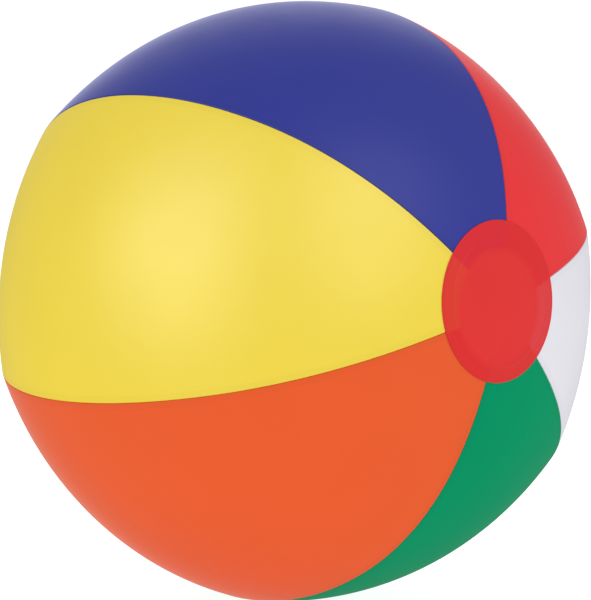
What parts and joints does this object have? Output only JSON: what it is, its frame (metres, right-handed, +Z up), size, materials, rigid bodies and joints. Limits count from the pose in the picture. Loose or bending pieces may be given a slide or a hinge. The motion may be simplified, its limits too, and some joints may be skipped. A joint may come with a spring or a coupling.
{
  "type": "inflatable beach ball",
  "caption": "Inflated PVC beach ball of coloured gores with welded round end caps and a push-in stoppered valve.",
  "frame": {"origin": "centre of the ball's bounding box, within a fraction of a millimetre of the middle of the inflated sphere", "axes": "+X along the polar axis, out through the plain end cap, with the valve cap at -X; +Z up; +Y to the right when the plain cap is looked at from outside with +Z up"},
  "size_m": [0.251, 0.263, 0.2646],
  "materials": {
    "red_film": "satin",
    "blue_film": "satin",
    "yellow_film": "satin",
    "orange_film": "satin",
    "green_film": "satin",
    "white_film": "satin",
    "cap_film": "satin",
    "valve_pvc": "satin"
  },
  "bodies": {
    "ball": {"panel_red": "red_film", "panel_blue": "blue_film", "panel_yellow": "yellow_film", "panel_orange": "orange_film", "panel_green": "green_film", "panel_white": "white_film", "end_cap_front": "cap_film", "end_cap_rear": "cap_film", "valve_flange": "valve_pvc", "valve_skirt": "valve_pvc"},
    "stem": {"valve_stem": "valve_pvc", "valve_strap_root": "valve_pvc"},
    "plug": {"valve_plug": "valve_pvc", "valve_strap_tip": "valve_pvc"},
    "flap": {"check_flap": "valve_pvc"}
  },
  "joints": [
    {"name": "stem_pop", "type": "slide", "parent": "ball", "child": "stem", "axis": [-1, 0, 0], "range_m": [0, 0.018], "deforming": ["valve_skirt"]},
    {"name": "plug_swing", "type": "hinge", "parent": "stem", "child": "plug", "pos_m": [-0.12545, 0, -0.012], "axis": [0, -1, 0], "range_deg": [0, 150]},
    {"name": "flap_open", "type": "hinge", "parent": "stem", "child": "flap", "pos_m": [-0.11105, 0, 0.005], "axis": [0, -1, 0], "range_deg": [0, 55], "stiffness_Nm_per_rad": 0.000005}
  ]
}
